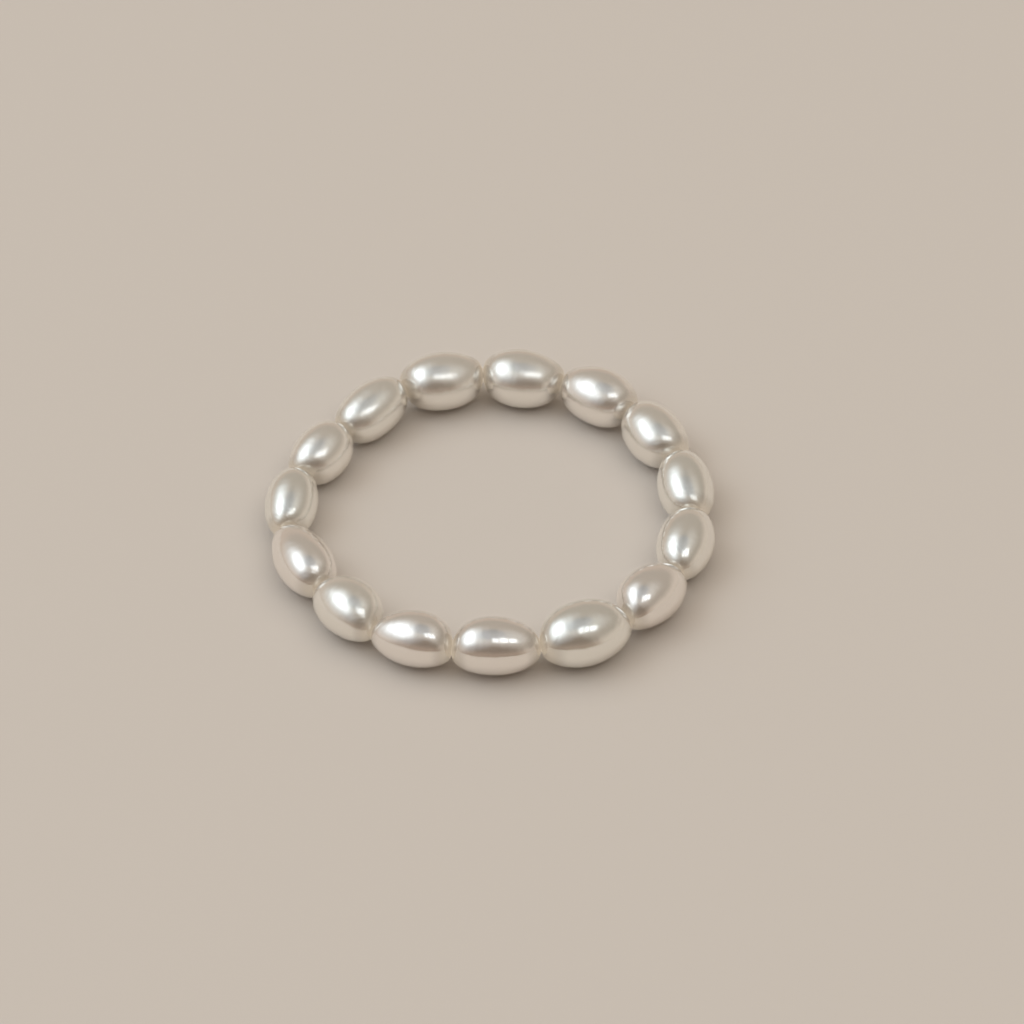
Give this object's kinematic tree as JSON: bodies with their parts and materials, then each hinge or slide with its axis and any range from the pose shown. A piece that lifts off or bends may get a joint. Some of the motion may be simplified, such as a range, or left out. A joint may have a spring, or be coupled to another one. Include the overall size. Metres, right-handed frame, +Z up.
{
  "type": "pearl stretch ring",
  "caption": "Finger ring of oval freshwater pearls strung end to end on a closed loop of elastic cord, lying flat on a surface.",
  "frame": {"origin": "centre of the ring's bounding box, on the surface that the ring lies on", "axes": "+Z is up, along the finger that wears the ring; -Y is the side nearest the viewer"},
  "size_m": [0.0238, 0.0236, 0.0033],
  "materials": {
    "nacre": "polished natural nacre, white to cream with a faint pink and green overtone",
    "elastic": "smooth clear stretch cord"
  },
  "bodies": {
    "root": {"pearl_01": "nacre", "pearl_02": "nacre", "pearl_03": "nacre", "pearl_04": "nacre", "pearl_05": "nacre", "pearl_06": "nacre", "pearl_07": "nacre", "pearl_08": "nacre", "pearl_09": "nacre", "pearl_10": "nacre", "pearl_11": "nacre", "pearl_12": "nacre", "pearl_13": "nacre", "pearl_14": "nacre", "pearl_15": "nacre", "elastic": "elastic"}
  },
  "joints": []
}
